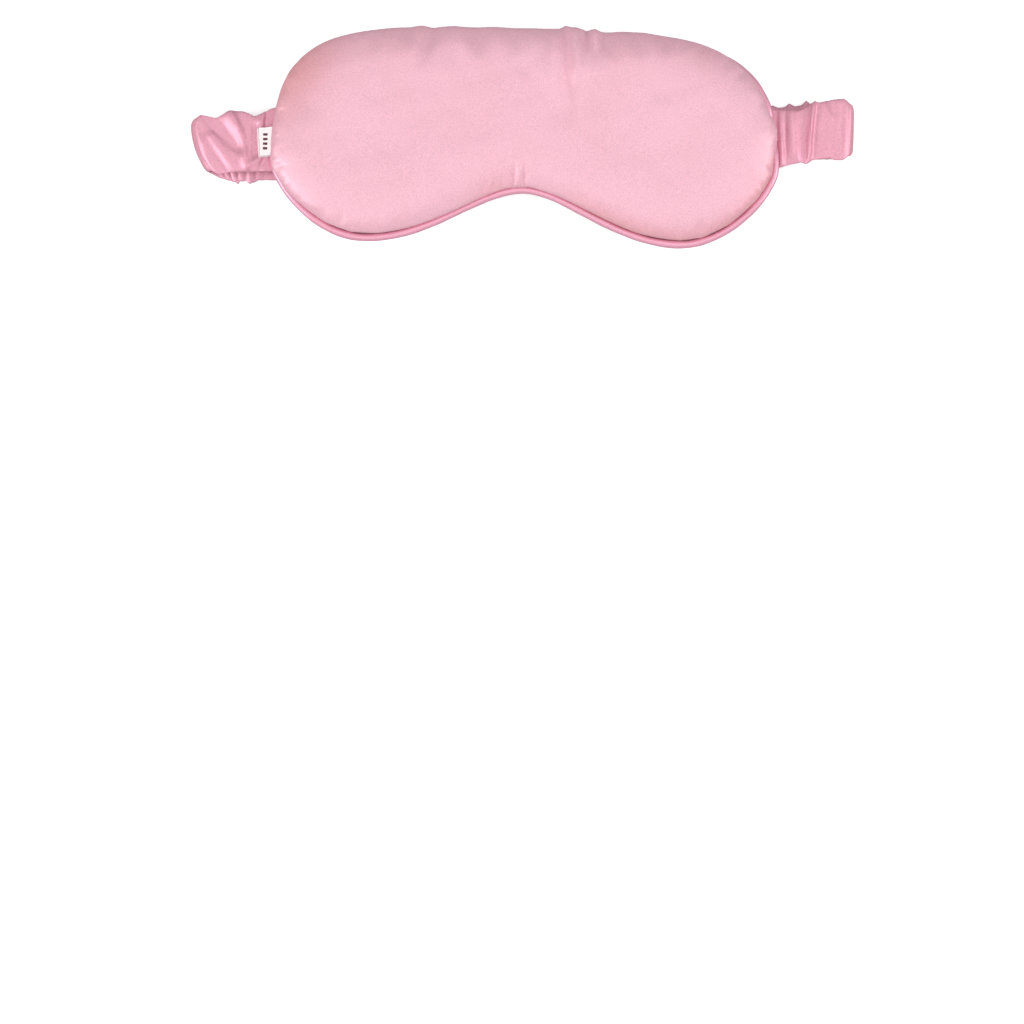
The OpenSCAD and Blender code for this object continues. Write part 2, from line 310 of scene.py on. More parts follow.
def warm_tone(p, depth):
    """Painted warm shade: the colour is made darker and warmer along the upper left and the lower right of
    the panel's edge, and beside the nose, where light falls off over the rounded edges.
    """
    # painted shade: these weights mark where the colour is darkened, not a change in the dye
    upper_left = np.exp(-((p[:, 0] + 93) / 17) ** 2 - ((p[:, 1] - 22) / 22) ** 2) * np.exp(-(depth / 13) ** 2)
    low_right = smooth((p[:, 0] - 8) / 25) * smooth((6 - p[:, 1]) / 20) * np.exp(-(depth / 4.5) ** 2)
    nose = np.exp(-((p[:, 0] + 14) / 9) ** 2) * smooth((-p[:, 1]) / 20) * np.exp(-(depth / 5) ** 2)
    return np.clip(1.1 * upper_left + 0.8 * low_right + 0.6 * nose, 0, 1)


def make_panel(name, base_z, height, side, creases, lump_seed, pucker):
    """A stuffed satin panel: its seam is pinned at base_z and it swells by height, up or down."""
    rim = mask_outline(SHEET_PITCH)
    shows = piping_shows(rim)
    if side < 0:
        shows = np.full(len(rim), 1.6)
    seam = rim + (shows + SEAM_TUCK)[:, None] * inward(rim)
    flat, faces, seam_count = sheet_points(seam, SHEET_PITCH, EDGE_RINGS)
    _, depth, nearest = depth_of(flat, seam)
    depth[:seam_count] = 0
    out = -inward(seam)[nearest]
    lean = depth / BULGE_AT * np.exp(1 - depth / BULGE_AT)
    swell = BULGE + (edge_bumps(flat) if side > 0 else 0)
    xy = flat + out * (swell * lean)[:, None]

    crown = 0.90 + 0.10 * smooth((np.abs(flat[:, 0]) - 12) / 40)
    rise = dome_height(depth)
    z = height * crown * rise
    z += rise ** 2 * (0.22 * ripple(flat, 34, lump_seed) + 0.12 * ripple(flat, 15, lump_seed + 1))
    z += creases(flat) * smooth(depth / 2.5 + 0.25)
    # the stitches draw the cloth in at the seam
    run = nearest * SHEET_PITCH
    stitch = np.sin(2 * math.pi * run / 2.9 + 2.0 * np.sin(run / 21.0))
    strength = 0.55 + 0.45 * np.sin(run / 37.0 + lump_seed) * np.sin(run / 11.0)
    z += pucker * stitch * strength * np.exp(-((depth - 1.2) / 1.3) ** 2)
    z[:seam_count] = 0
    points = np.column_stack([xy, base_z + side * z])
    if side < 0:
        faces = [f[::-1] for f in faces]
    obj = new_mesh(name, points, faces)
    # painted shade near the edges, passed to the satin material as a point attribute
    painted_shade = obj.data.attributes.new("painted_shade", "FLOAT", "POINT")
    painted_shade.data.foreach_set("value", warm_tone(flat, depth).astype(np.float32))
    return obj, seam_count


def settle(obj, pinned, pressure, spare, frames, cap):
    """Nudges a panel the way cloth would go: pinned at the seam, pushed from inside, with a little spare
    cloth. Left free it moves by several millimetres, so most points stop at cap millimetres."""
    scale = 20.0
    before = np.array([v.co for v in obj.data.vertices])
    group = obj.vertex_groups.new(name="seam")
    group.add(list(range(pinned)), 1.0, "REPLACE")
    obj.data.vertices.foreach_set("co", (before * scale).ravel())
    obj.data.update()
    cloth = obj.modifiers.new("settle", "CLOTH")
    s = cloth.settings
    s.quality = 6
    s.mass = 0.02
    s.tension_stiffness = s.compression_stiffness = 12
    s.shear_stiffness = 4
    s.bending_stiffness = 0.08
    s.use_pressure = True
    s.uniform_pressure_force = pressure
    s.vertex_group_mass = "seam"
    s.shrink_min = -spare
    s.effector_weights.gravity = 0
    cloth.collision_settings.use_collision = False
    cloth.point_cache.frame_start = 1
    cloth.point_cache.frame_end = frames
    scene = bpy.context.scene
    for f in range(1, frames + 1):
        scene.frame_set(f)
    shown = obj.evaluated_get(bpy.context.evaluated_depsgraph_get())
    after = np.array([v.co for v in shown.data.vertices]) / scale
    obj.modifiers.remove(cloth)
    scene.frame_set(1)
    move = after - before
    length = np.linalg.norm(move, axis=1)
    move *= np.minimum(1, cap * MM / np.maximum(length, 1e-9))[:, None]
    obj.data.vertices.foreach_set("co", (before + move).ravel())
    obj.data.update()
    print(f"{obj.name}: cloth moved {length.mean() / MM:.2f} mm on average, {length.max() / MM:.2f} at most")


PAD_INSET = 7.5


def back_depth_z(xy):
    """Height of the back panel's inside at places in the mask's plane, without its creases."""
    rim = mask_outline(2.0)
    seam = rim + (1.6 + SEAM_TUCK) * inward(rim)
    inside, depth, _ = depth_of(xy, seam)
    depth = np.where(inside, depth, 0)
    crown = 0.90 + 0.10 * smooth((np.abs(xy[:, 0]) - 12) / 40)
    return SEAM_Z - PANEL_LIFT - (SEAM_Z - PANEL_LIFT - BACK_LOW[2]) * crown * dome_height(depth)


def make_pad(name, top_gap, low_gap, thick):
    """The wadding, or the lining under it: follows the settled front panel above and the back panel below."""
    rim = mask_outline(3.0)
    loop = rim + PAD_INSET * inward(rim)
    flat, faces, count = sheet_points(loop, 3.0, (2.5,))
    skin = np.array([v.co for v in front.data.vertices]) / MM
    above = np.empty(len(flat))
    for k in range(0, len(flat), 500):
        d = np.linalg.norm(flat[k:k + 500, None] - skin[None, :, :2], axis=2)
        near = np.argsort(d, axis=1)[:, :14]
        above[k:k + 500] = skin[near, 2].min(1)
    below = back_depth_z(flat)
    low = below + low_gap
    high = low + thick if thick else np.maximum(above - top_gap, low + 1.0)
    n = len(flat)
    points = np.vstack([np.column_stack([flat, high]), np.column_stack([flat, low])])
    sides = [(i, (i + 1) % count, n + (i + 1) % count, n + i) for i in range(count)]
    return new_mesh(name, points, faces + [tuple(n + v for v in f[::-1]) for f in faces] + sides)


# ---------------------------------------------------------------- piping

def bead_places(rim):
    """Inset and height of the bead's middle at each outline point: it rolls under where it doesn't show."""
    roll = smooth((2.4 - piping_shows(rim)) / 2.2)
    inset = BEAD_R + 0.95 * roll
    height = BEAD_Z - 0.3 - 1.4 * roll
    return inset, height


def sweep_round(name, rim, sections):
    """A closed tube round the outline: sections[i] holds the [inset, height] points at outline point i."""
    n_in = inward(rim)
    m = len(sections[0])
    points = [(*(rim[i] + q[0] * n_in[i]), q[1]) for i in range(len(rim)) for q in sections[i]]
    n = len(rim)
    faces = [(i * m + j, i * m + (j + 1) % m, (i + 1) % n * m + (j + 1) % m, (i + 1) % n * m + j)
             for i in range(n) for j in range(m)]
    return new_mesh(name, points, faces)


def make_piping():
    rim = mask_outline(0.8)
    inset, height = bead_places(rim)
    run = np.arange(len(rim)) * 0.8
    sections = []
    for i in range(len(rim)):
        # the bias strip is a little uneven, and slants where it was pulled round the curves
        r = BEAD_R * (1 + 0.035 * math.sin(run[i] / 6.1) + 0.025 * math.sin(run[i] / 2.3 + 1.0))
        section = [(inset[i] + 4.6, SEAM_Z + 0.3), (inset[i] + r + 1.2, SEAM_Z + 0.3),
                   (inset[i] + r + 0.1, height[i] - 0.8)]
        for k in range(15):
            a = math.radians(-18 + k * 282 / 14)
            slant = 0.01 * math.sin(2 * math.pi * (run[i] / 9.0 + a / 3.0))
            rr = r * (1 + slant)
            section.append((inset[i] + rr * math.cos(a), height[i] + rr * math.sin(a) * 0.94))
        section.append((inset[i] + 4.6, SEAM_Z - 0.32))
        sections.append(section[::-1])
    piping = sweep_round("piping_satin", rim, sections)
    cord_r = BEAD_R - 0.55
    core = sweep_round("piping_core", rim, [
        [(inset[i] + cord_r * math.cos(a), height[i] + 0.94 * cord_r * math.sin(a))
         for a in np.linspace(2 * math.pi, 0, 10, endpoint=False)] for i in range(len(rim))])
    return piping, core


# ---------------------------------------------------------------- strap

FOLD_R = (TAB_Z - RUN_Z) / 2
TURN_X = FOLD_X - FOLD_R
TURN_RUN = math.pi * FOLD_R
STEP = 0.45
AROUND = 72
UNDER_SEAM = 103.5       # the casing ends here, inside the mask's seam

# The casing's two edges, low and high, in the mask's plane, at distances from the middle of the mask:
# first along the back run, then along the tab in front of it. The gathers make them wave.
EDGES = {
    -1: {"run_low": [(0, -12.4), (80, -12.6), (98, -18.4), (104, -19.6), (110, -19.5), (113, -19.9),
                     (115.6, -21.4), (117.4, -20.3), (119.6, -20.0), (121.2, -20.1), (123.6, -21.4),
                     (127, -20.5),
                     (131, -20.0), (134, -19.2)],
         "run_high": [(0, 12.4), (80, 12.6), (98, 6.0), (110, 4.6), (134, 4.8)],
         "tab_low": [(104, -16.4), (112, -17.0), (121, -17.0), (127, -17.5), (132.5, -18.1), (134, -18.6)],
         "tab_high": [(104, 10.4), (107.3, 9.6), (110.5, 7.6), (113.6, 6.3), (116, 7.5), (118.6, 8.4),
                      (123.7, 8.2), (126, 6.6), (128.3, 5.5), (133, 6.6), (137, 6.6)]},
    1: {"run_low": [(0, -12.4), (80, -12.6), (104, -7.0), (122, -5.6), (134, -5.2)],
        "run_high": [(0, 12.4), (80, 12.8), (100, 15.6), (103, 15.8), (105.2, 17.3), (107.4, 16.1),
                     (110, 16.4),
                     (112, 18.2), (114.4, 16.9), (117.4, 17.6), (119.2, 19.5), (122.0, 17.6), (134, 18.4)],
        "tab_low": [(104, -11.0), (107.3, -10.3), (112, -9.1), (116.6, -7.9), (118.8, -8.7), (121.6, -6.8),
                    (129, -5.8), (130.6, -6.6), (134, -6.6)],
        "tab_high": [(104, 14.2), (114.9, 13.9), (119.1, 15.6), (122.2, 18.0), (124.5, 17.5), (129, 18.8),
                     (134, 19.4)]}}

# Folds of the casing on the two tabs' upper faces: start, end, width before the line and after it, height,
# sideways bow. x counts outward from the middle of the mask.
TAB_FOLDS = {
    -1: [((133.5, 9), (118.6, -9), 3.4, 1.9, -1.8, -1.0), ((123.6, 10), (117.0, -19), 1.1, 3.4, 1.4, 2.2),
         ((113.6, 3), (113.2, -12), 1.8, 1.1, -1.1, 0.0), ((136.5, 3), (128.5, -19), 2.4, 1.6, -0.6, 0.8),
         ((131.5, -2), (123.5, -19), 3.2, 3.2, 0.6, 0.4), ((117, -16), (107, -9), 1.4, 1.4, 0.8, 0.5),
         ((110.2, 9), (111.2, -4), 1.0, 1.3, 0.5, 0.0), ((108.2, 10), (109.0, 0), 0.8, 0.8, -0.8, 0.0),
         ((108.4, -9), (111.8, -18), 1.0, 1.0, -0.8, 0.0), ((136.6, 7), (134.8, -8), 1.4, 1.4, 0.35, 0.3)],
    1: [((105.2, 15), (105.6, -12), 0.9, 0.9, -0.9, 0.0), ((107.4, 14.5), (108.3, -11), 1.0, 0.9, 0.6, 0.2),
        ((109.6, 14.5), (110.4, -11), 0.7, 0.7, -0.5, 0.0), ((112.2, 14.5), (113.2, -6), 1.5, 1.4, 0.6, 0.2),
        ((109.0, -10), (108.2, 3), 1.0, 1.0, 0.5, 0.0), ((112.4, -9), (110.4, -1), 0.9, 0.9, -0.4, 0.0),
        ((116.4, 15.0), (118.4, -9), 1.6, 1.1, -1.4, 0.0), ((114.4, 15.0), (115.4, -8), 0.8, 0.8, 0.3, 0.0),
        ((121.6, 18.5), (119.8, -8.5), 1.1, 0.9, 1.7, 0.3), ((123.2, 18.5), (121.8, -7), 0.9, 1.4, -0.5, 0.3),
        ((124.8, 18), (129.2, 9), 1.5, 2.2, 0.5, 0.0), ((127.6, 18.6), (131.5, 11), 1.2, 1.2, -0.35, 0.0),
        ((131.4, 18.6), (133.4, 11), 1.4, 1.4, 0.3, 0.0), ((133.4, 16), (133.6, 0), 1.3, 1.1, -0.25, 0.0),
        ((135.2, 17), (135.2, -3), 0.9, 0.9, 0.2, 0.0), ((130.8, -6), (128.6, 0), 0.9, 0.9, -0.4, 0.0),
        ((126, 8), (124.5, -6), 3.0, 3.0, -0.3, 0.0)]}


def strap_path():
    """Middle line of one half of the strap, as rows of x, z and heading: out along the table, round the
    fold and back into the seam. x counts outward from the middle of the mask."""
    rows = [(x, RUN_Z, 0.0) for x in np.arange(0, TURN_X, STEP)]
    rows += [(TURN_X + FOLD_R * math.sin(d / FOLD_R), RUN_Z + FOLD_R * (1 - math.cos(d / FOLD_R)), d / FOLD_R)
             for d in np.arange(0, TURN_RUN, STEP)]
    rows += [(TURN_X - d, TAB_Z, math.pi) for d in np.arange(0, TURN_X - UNDER_SEAM, STEP)]
    return np.array(rows)


def edge_lines(side, path):
    """The casing's low and high edge at each row of the path."""
    lines = {k: np.array(v, float) for k, v in EDGES[side].items()}
    on_run, on_tab = path[:, 2] == 0, path[:, 2] > 3.1
    result = []
    for k in ("low", "high"):
        run, tab = lines["run_" + k], lines["tab_" + k]
        value = np.where(on_run, np.interp(path[:, 0], run[:, 0], run[:, 1]),
                         np.interp(path[:, 0], tab[:, 0], tab[:, 1]))
        t = smooth(path[:, 2] / math.pi)
        round_fold = run[-1, 1] * (1 - t) + np.interp(TURN_X, tab[:, 0], tab[:, 1]) * t
        value = np.where(on_run | on_tab, value, round_fold)
        result.append(value)
    return result


def gathers(side, run, u, face, pitch=3.7):
    """Soft irregular ridges across the casing, each a few millimetres from the next, -1 to 1."""
    seed = 5 * face + 2.3 * side
    phase = run / pitch * 2 * math.pi
    phase += 2.1 * np.sin(run / 8.3 + seed) + 1.3 * np.sin(run / 4.9 + 2.1 * seed)
    phase += 1.1 * np.sin(2.2 * u + run / 6.0 + seed) + 0.5 * np.sin(4.6 * u + run / 3.6)
    tall = 0.58 + 0.42 * np.sin(run / 5.3 + 3.1 * seed + 1.2 * u)
    return tall * (2 * np.abs(np.sin(phase / 2)) ** 0.8 - 1)


def tab_relief(side, x, y):
    """Height of the listed folds on a tab's upper face."""
    h = np.zeros_like(x)
    p = np.stack([x, y], 1)
    for start, end, before, after, height, bow in TAB_FOLDS[side]:
        h += fold_line(p, start, end, before, after, height, bow)
    return h


def fold_line(points, start, end, before, after, height, bow):
    a, b = np.array(start, float), np.array(end, float)
    length = np.linalg.norm(b - a)
    along = (b - a) / length
    across = np.array([-along[1], along[0]])
    t = (points - a) @ along / length
    s = (points - a) @ across + bow * np.sin(math.pi * np.clip(t, 0, 1))
    width = np.where(s < 0, before, after)
    ends = smooth((t + 0.10) / 0.15) * smooth((1.12 - t) / 0.3)
    return height * np.exp(-np.abs(s / width) ** 1.7) * ends


def left_slant(x, down):
    """How much nearer the mask a point of the left fold lies; down runs from 0 at its upper end to 1."""
    return smooth((x - 114) / 20) * (8.0 * np.clip(down, 0, 1) ** 2 - 2.0)


def strap_rings(side):
    """Every ring of one half of the casing: an array of rings by points by xyz, and each ring's run."""
    path = strap_path()
    run = np.r_[0, np.cumsum(np.hypot(np.diff(path[:, 0]), np.diff(path[:, 1])))]
    low, high = edge_lines(side, path)
    angle = np.linspace(0, 2 * math.pi, AROUND, endpoint=False)
    c, s = np.cos(angle), np.sin(angle)
    u = np.sign(c) * np.abs(c) ** 0.8
    face = np.sign(s) * np.abs(s) ** 0.5
    rings = np.empty((len(path), AROUND, 3))
    for i, (x, z, heading) in enumerate(path):
        on_tab = smooth((heading - 2.6) / 0.5)
        on_run = 1 - smooth(heading / 0.6)
        seamward = smooth((109.5 - x) / 3.5) * on_tab
        # the two edges stand out a little where a gather ends there
        frill = 0.35 * (gathers(side, run[i], np.sign(c), 0) - 0.3) * (1 - on_tab)
        y = (low[i] + high[i]) / 2 + u * ((high[i] - low[i]) / 2 + frill * np.abs(u) ** 8)
        outer, inner = gathers(side, run[i], u, 1), gathers(side, run[i], u, 2)
        over = np.where(s > 0, 1.15 + 0.34 * outer * (1 - on_tab), 1.05 + 0.42 * inner)
        relief = tab_relief(side, np.full(AROUND, x), y)
        over = over + np.where(s > 0, on_tab * (relief + 0.05 * outer), 0)
        over = np.clip(over, 0.5, 3.2)
        over = np.maximum(over * (1 - 0.5 * seamward), 0.45)
        lift = over * face
        # the back run keeps above the table
        lift = np.where(on_run > 0.5, np.maximum(np.minimum(lift, RUN_Z - 0.04), -2.1), lift)
        # the folds reach the edge of the tab as small scallops
        y = y + on_tab * 0.3 * np.clip(relief, -1, 1) * np.sign(c) * np.abs(u) ** 10
        # round the two corners where the strap turns over
        turn = math.sin(heading) if heading > 0 else 0.0
        y = y - turn * 2.4 * u * np.abs(u) ** 3
        slant = left_slant(x, (high[i] - y) / (high[i] - low[i])) if side < 0 else 0.0
        rings[i, :, 0] = side * (x - slant + lift * math.sin(heading))
        rings[i, :, 1] = y
        rings[i, :, 2] = z - lift * math.cos(heading)
    return rings, path


def ring_mesh(name, rings, side):
    """A closed tube through rings, capped with rings of its own so that the caps don't bend its shading."""
    n, m = rings.shape[:2]
    points = np.vstack([rings.reshape(-1, 3), rings[0], rings[-1]])
    faces = [(i * m + j, i * m + (j + 1) % m, (i + 1) * m + (j + 1) % m, (i + 1) * m + j)
             for i in range(n - 1) for j in range(m)]
    faces.append([n * m + j for j in range(m)][::-1])
    faces.append([(n + 1) * m + j for j in range(m)])
    if side < 0:
        faces = [f[::-1] for f in faces]
    return new_mesh(name, points, faces)


def nearest_row(path, x, heading):
    on = np.abs(path[:, 2] - heading) < 0.02
    index = np.where(on)[0]
    return index[np.argmin(np.abs(path[index, 0] - x))]


def hinge_at(name):
    """Place of a joint, in millimetres."""
    return np.array(JOINTS[name]["pos_m"]) / MM


def elastic_rings(side):
    """The flat elastic inside the casing, ring by ring, following the same path."""
    path = strap_path()
    low, high = edge_lines(side, path)
    rings = np.empty((len(path), 8, 3))
    section = [(-1, -0.5), (-0.96, -1), (0.96, -1), (1, -0.5), (1, 0.5), (0.96, 1), (-0.96, 1), (-1, 0.5)]
    span = (ELASTIC_HIGH[1] - ELASTIC_LOW[1]) / (TAB_HIGH[1] - TAB_LOW[1])
    for i, (x, z, heading) in enumerate(path):
        for j, (u, v) in enumerate(section):
            lift = 0.3 * v
            slant = left_slant(x, (1 - u * span) / 2) if side < 0 else 0.0
            rings[i, j] = (side * (x - slant + lift * math.sin(heading)),
                           (low[i] + high[i]) / 2 + u * span * (high[i] - low[i]) / 2,
                           z - lift * math.cos(heading))
    return rings, path


def make_strap(side):
    """The strap's half as seven lengths of casing and of elastic, cut from its rings at rows between the
    hinges.
    """
    tag = "left" if side < 0 else "right"
    casing, path = strap_rings(side)
    elastic = elastic_rings(side)[0]
    links = [abs(hinge_at(f"strap_bend_{tag}_{k}")[0]) for k in (1, 2, 3, 4)]
    cuts = [nearest_row(path, (a + b) / 2, 0) for a, b in zip(links[:3], links[1:4])]
    fold_mid = int(np.argmin(np.abs(path[:, 2] - math.pi / 2)))
    tab_mid = nearest_row(path, 120.4 if side > 0 else 119.8, math.pi)
    borders = [0] + cuts + [nearest_row(path, 124.0, 0), fold_mid, tab_mid, len(path) - 1]
    seam_x = abs(hinge_at(f"strap_seam_{tag}")[0])
    bends = [((x - 9, RUN_Z), (x + 9, RUN_Z)) for x in links]
    bends += [((FOLD_X - 7, RUN_Z), (FOLD_X, RUN_Z + FOLD_R * 0.8)),
              ((FOLD_X, TAB_Z - FOLD_R * 0.8), (FOLD_X - 7, TAB_Z)),
              ((seam_x + 4, TAB_Z), (seam_x - 2.5, TAB_Z))]
    links_in = [["back_{}_%s_0"], ["back_{}_%s_1"], ["back_{}_%s_2"], ["back_{}_%s_3"],
                ["back_{}_%s_4", "fold_{}_%s"], ["tab_{}_%s"], ["anchor_{}_%s"]]
    made = {"casing": [], "elastic": []}
    for kind, rings in (("casing", casing), ("elastic", elastic)):
        for k in range(7):
            first, last = borders[k], borders[k + 1]
            spare = 2 if kind == "casing" else 0
            piece = rings[first:last + 1 + spare].copy()
            # the casing's far end slips a little way inside the next length
            for j in range(last - first + 1, len(piece)):
                piece[j] += (piece[j].mean(0) - piece[j]) * np.array([0.04, 0.01, 0.10]) * (j - last + first)
            obj = ring_mesh(f"{kind}_{tag}_{k}", piece, side)
            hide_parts(*[(n % tag).format(kind) for n in links_in[k]])
            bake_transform(obj)
            made[kind].append(obj)
    return made


# ---------------------------------------------------------------- label

def make_label():
    """A plain folded woven ribbon, sewn into the left seam over the piping. Its marks are in its material."""
    length, width = LABEL_HIGH[0] - LABEL_LOW[0], LABEL_HIGH[1] - LABEL_LOW[1]
    hinge = hinge_at("label_flip")
    root = -HALF_W + 2.7
    tip = hinge[0] - length + 2.0
    middle = -4.5
    rows = np.linspace(0, 1, 26)
    cols = np.linspace(-1, 1, 25)
    top, low = [], []
    for r in rows:
        for c in cols:
            x = root + (tip - root) * r - 0.42 * c
            y = middle + c * width / 2 - 0.35 * r
            # over the bead and down onto the strap, with the free end curling up a little
            over = BEAD_Z + BEAD_R * math.sqrt(max(0.0, 1 - ((x + HALF_W - BEAD_R) / 2.6) ** 2)) + 0.1
            down = hinge[2] + 0.5 - 0.35 * r + 0.35 * r * r * (1 + 0.5 * c)
            z = down + max(over - down, 0) * float(smooth((x + HALF_W + 1.2) / 2.2))
            top.append((x, y, z + 0.16))
            low.append((x - 0.55 * r, y - 0.25, z - 0.17))
    n = len(cols)
    points = np.array(top + low)
    count = len(top)
    faces = []
    for i in range(len(rows) - 1):
        for j in range(n - 1):
            q = (i * n + j, i * n + j + 1, (i + 1) * n + j + 1, (i + 1) * n + j)
            faces.append(q)
            faces.append(tuple(count + v for v in q[::-1]))
    ring = [i * n for i in range(len(rows))] + [(len(rows) - 1) * n + j for j in range(1, n)]
    ring += [i * n + n - 1 for i in range(len(rows) - 2, -1, -1)] + list(range(n - 2, 0, -1))
    for k, v in enumerate(ring):
        w = ring[(k + 1) % len(ring)]
        faces.append((v, count + v, count + w, w))
    label = new_mesh("label_ribbon", points, faces)
    place = np.array([((x + HALF_W) / 2.7, (y - middle) / (width / 2)) for x, y, _ in points])
    for k, key in enumerate(("out", "along")):
        field = label.data.attributes.new(key, "FLOAT", "POINT")
        field.data.foreach_set("value", place[:, k].astype(np.float32))
    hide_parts("side_label")
    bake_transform(label)
    return label


# ---------------------------------------------------------------- materials

class Nodes:
    """A short way to write a node tree. An input is named, with _ for a space, or numbered, as i0 or i1."""

    def __init__(self, name):
        self.material = bpy.data.materials.new(name)
        self.material.use_nodes = True
        self.tree = self.material.node_tree
        self.shader = self.tree.nodes["Principled BSDF"]

    def add(self, kind, settings=None, **inputs):
        node = self.tree.nodes.new(kind)
        for key, value in (settings or {}).items():
            setattr(node, key, value)
        for key, value in inputs.items():
            numbered = key[0] == "i" and key[1:].isdigit()
            socket = int(key[1:]) if numbered else key.replace("_", " ")
            self.set(node.inputs[socket], value)
        return node

    def set(self, socket, value):
        if hasattr(value, "bl_idname") or hasattr(value, "is_output"):
            self.tree.links.new(value, socket)
        else:
            socket.default_value = value

    def shade(self, **inputs):
        for key, value in inputs.items():
            self.set(self.shader.inputs[key.replace("_", " ")], value)


def linear(r, g, b):
    """A screen colour, 0 to 255, as the linear colour a shader takes."""
    def one(v):
        v /= 255
        return v / 12.92 if v < 0.04045 else ((v + 0.055) / 1.055) ** 2.4
    return (one(r), one(g), one(b), 1.0)


def satin(name, colour, rough, sheen, metal, grain, speckle, strength=0.25):
    """Woven satin: fine broken grain in colour, in gloss and in the surface, and a soft sheen."""
    n = Nodes(name)
    where = n.add("ShaderNodeTexCoord").outputs["Object"]
    stretch = n.add("ShaderNodeMapping", None, Vector=where, Scale=(1.0, 0.62, 1.0)).outputs["Vector"]
    noise = n.add("ShaderNodeTexNoise", None, Vector=stretch, Scale=grain, Detail=3.0, Roughness=0.62)
    fine = noise.outputs["Fac"]
    broad = n.add("ShaderNodeTexNoise", None, Vector=where, Scale=38.0, Detail=2.0).outputs["Fac"]
    light = n.add("ShaderNodeMapRange", None, Value=fine, From_Min=0.25, From_Max=0.75, To_Min=1 - speckle,
                  To_Max=1 + speckle).outputs["Result"]
    tint = n.add("ShaderNodeMix", {"data_type": "RGBA"})
    n.set(tint.inputs[0], broad)
    n.set(tint.inputs[6], linear(*[v + d for v, d in zip(colour, (0, -3, -4))]))
    n.set(tint.inputs[7], linear(*[min(255, v + d) for v, d in zip(colour, (1, 3, 3))]))
    # painted shade: where the panel's attribute is set, the colour is multiplied darker and warmer, standing
    # in for light falling off at the rounded edges
    painted_shade = n.add("ShaderNodeAttribute", {"attribute_name": "painted_shade"}).outputs["Fac"]
    painted_shade_mix = n.add("ShaderNodeMix", {"data_type": "RGBA", "blend_type": "MULTIPLY"})
    n.set(painted_shade_mix.inputs[0], painted_shade)
    n.set(painted_shade_mix.inputs[6], tint.outputs[2])
    n.set(painted_shade_mix.inputs[7], (0.94, 0.80, 0.73, 1))
    base = n.add("ShaderNodeVectorMath", {"operation": "SCALE"}, i0=painted_shade_mix.outputs[2], Scale=light)
    gloss = n.add("ShaderNodeMapRange", None, Value=fine, From_Min=0.2, From_Max=0.8, To_Min=rough - 0.05,
                  To_Max=rough + 0.05).outputs["Result"]
    bump = n.add("ShaderNodeBump", None, Height=fine, Strength=strength, Distance=0.00012)
    n.shade(Base_Color=base.outputs[0], Roughness=gloss, Normal=bump.outputs["Normal"], Sheen_Weight=sheen,
            Sheen_Roughness=0.45, IOR=1.5, Specular_IOR_Level=0.5, Metallic=metal,
            Sheen_Tint=linear(255, 225, 235))
    return n.material


def woven(name, colour, rough, scale, depth, ink=None):
    """Plain woven cloth: two sets of crossing ribs."""
    n = Nodes(name)
    where = n.add("ShaderNodeTexCoord").outputs["Object"]
    warp, weft = (n.add("ShaderNodeTexWave", {"bands_direction": way}, Vector=where, Scale=pitch,
                        Distortion=0.4) for way, pitch in (("X", scale), ("Y", scale * 1.2)))
    both = n.add("ShaderNodeMath", {"operation": "MULTIPLY"}, i0=warp.outputs["Fac"], i1=weft.outputs["Fac"])
    bump = n.add("ShaderNodeBump", None, Height=both.outputs[0], Strength=depth, Distance=0.0002)
    n.shade(Base_Color=linear(*colour), Roughness=rough, Normal=bump.outputs["Normal"], Sheen_Weight=0.15)
    if ink:
        mark_label(n, colour, ink)
    return n.material


def mark_label(n, colour, ink):
    """A generic row of four short woven bars along a label's middle."""
    out = n.add("ShaderNodeAttribute", {"attribute_name": "out"}).outputs["Fac"]
    along = n.add("ShaderNodeAttribute", {"attribute_name": "along"}).outputs["Fac"]

    def within(value, centre, half):
        away = n.add("ShaderNodeMath", {"operation": "SUBTRACT"}, i0=value, i1=centre).outputs[0]
        away = n.add("ShaderNodeMath", {"operation": "ABSOLUTE"}, i0=away).outputs[0]
        return n.add("ShaderNodeMath", {"operation": "LESS_THAN"}, i0=away, i1=half).outputs[0]

    beat = n.add("ShaderNodeMath", {"operation": "MULTIPLY"}, i0=along, i1=3.1).outputs[0]
    beat = n.add("ShaderNodeMath", {"operation": "ADD"}, i0=beat, i1=10.0).outputs[0]
    beat = n.add("ShaderNodeMath", {"operation": "FRACT"}, i0=beat).outputs[0]
    bars = n.add("ShaderNodeMath", {"operation": "MULTIPLY"}, i0=within(beat, 0.5, 0.27),
                 i1=within(along, 0.0, 0.66)).outputs[0]
    bars = n.add("ShaderNodeMath", {"operation": "MULTIPLY"}, i0=bars, i1=within(out, -0.42, 0.36)).outputs[0]
    mix = n.add("ShaderNodeMix", {"data_type": "RGBA"})
    n.set(mix.inputs[0], bars)
    n.set(mix.inputs[6], linear(*colour))
    n.set(mix.inputs[7], linear(*ink))
    n.shade(Base_Color=mix.outputs[2])


def fibre(name, colour, rough, scale):
    """Matt loose or twisted fibre."""
    n = Nodes(name)
    where = n.add("ShaderNodeTexCoord").outputs["Object"]
    fuzz = n.add("ShaderNodeTexNoise", None, Vector=where, Scale=scale, Detail=4.0).outputs["Fac"]
    bump = n.add("ShaderNodeBump", None, Height=fuzz, Strength=0.5, Distance=0.0003)
    n.shade(Base_Color=linear(*colour), Roughness=rough, Normal=bump.outputs["Normal"], Sheen_Weight=0.3)
    return n.material


def dress(objects, material):
    for obj in objects:
        obj.data.materials.clear()
        obj.data.materials.append(material)


# ---------------------------------------------------------------- build

